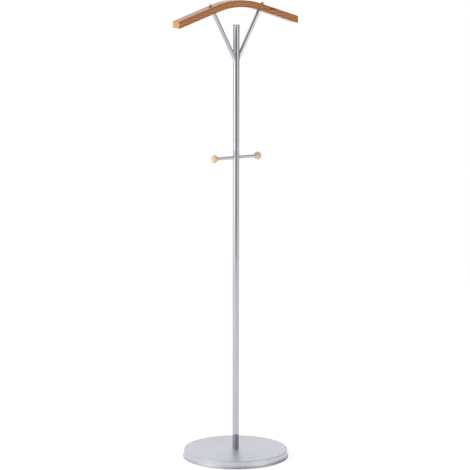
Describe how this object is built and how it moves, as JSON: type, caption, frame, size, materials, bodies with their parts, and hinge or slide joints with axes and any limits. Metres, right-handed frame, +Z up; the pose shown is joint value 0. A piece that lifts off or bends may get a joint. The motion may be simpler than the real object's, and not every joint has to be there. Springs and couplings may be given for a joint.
{
  "type": "valet stand",
  "caption": "Free-standing valet stand: weighted round steel base, slim pole, cross rod with wooden knobs, and a bowed wooden hanger on slanting tubes.",
  "frame": {"origin": "centre of the base at floor level, on the pole's axis", "axes": "+Z up along the pole, X along the hanger and the cross rod, +Y towards the back, where the set screw is"},
  "size_m": [0.428, 0.331, 1.43],
  "materials": {
    "spun_steel": "circular brushed satin steel",
    "cast_iron": "dark painted rough casting",
    "foot_rubber": "matt black rubber",
    "zinc_steel": "bright zinc plating",
    "plain_steel": "plain turned steel",
    "satin_steel": "satin steel with a lengthwise grain",
    "weld_steel": "dressed and polished weld",
    "dark_ring": "matt black",
    "nut_steel": "polished nickel",
    "knob_wood": "pale turned wood, clear satin varnish",
    "hanger_wood": "warm brown wood with a fine wavy grain, clear satin varnish"
  },
  "bodies": {
    "root": {"base_cover": "spun_steel", "base_weight": "cast_iron", "rubber_feet": "foot_rubber", "foot_screws": "zinc_steel", "pole_bolt": "zinc_steel", "pole_bolt_washer": "zinc_steel", "pole_lock_washer": "plain_steel", "pole_foot_plug": "plain_steel", "pole": "satin_steel", "pole_top_cap": "satin_steel", "peg_rod": "satin_steel", "peg_set_screw": "plain_steel", "left_peg_knob": "knob_wood", "right_peg_knob": "knob_wood", "left_knob_stud": "plain_steel", "right_knob_stud": "plain_steel", "left_arm_tube": "satin_steel", "right_arm_tube": "satin_steel", "left_arm_weld": "weld_steel", "right_arm_weld": "weld_steel", "left_arm_plug": "plain_steel", "right_arm_plug": "plain_steel", "left_seat_ring": "dark_ring", "right_seat_ring": "dark_ring", "left_hanger_stud": "plain_steel", "right_hanger_stud": "plain_steel", "left_hanger_washer": "nut_steel", "right_hanger_washer": "nut_steel", "left_cap_nut": "nut_steel", "right_cap_nut": "nut_steel", "hanger_bar": "hanger_wood"}
  },
  "joints": []
}
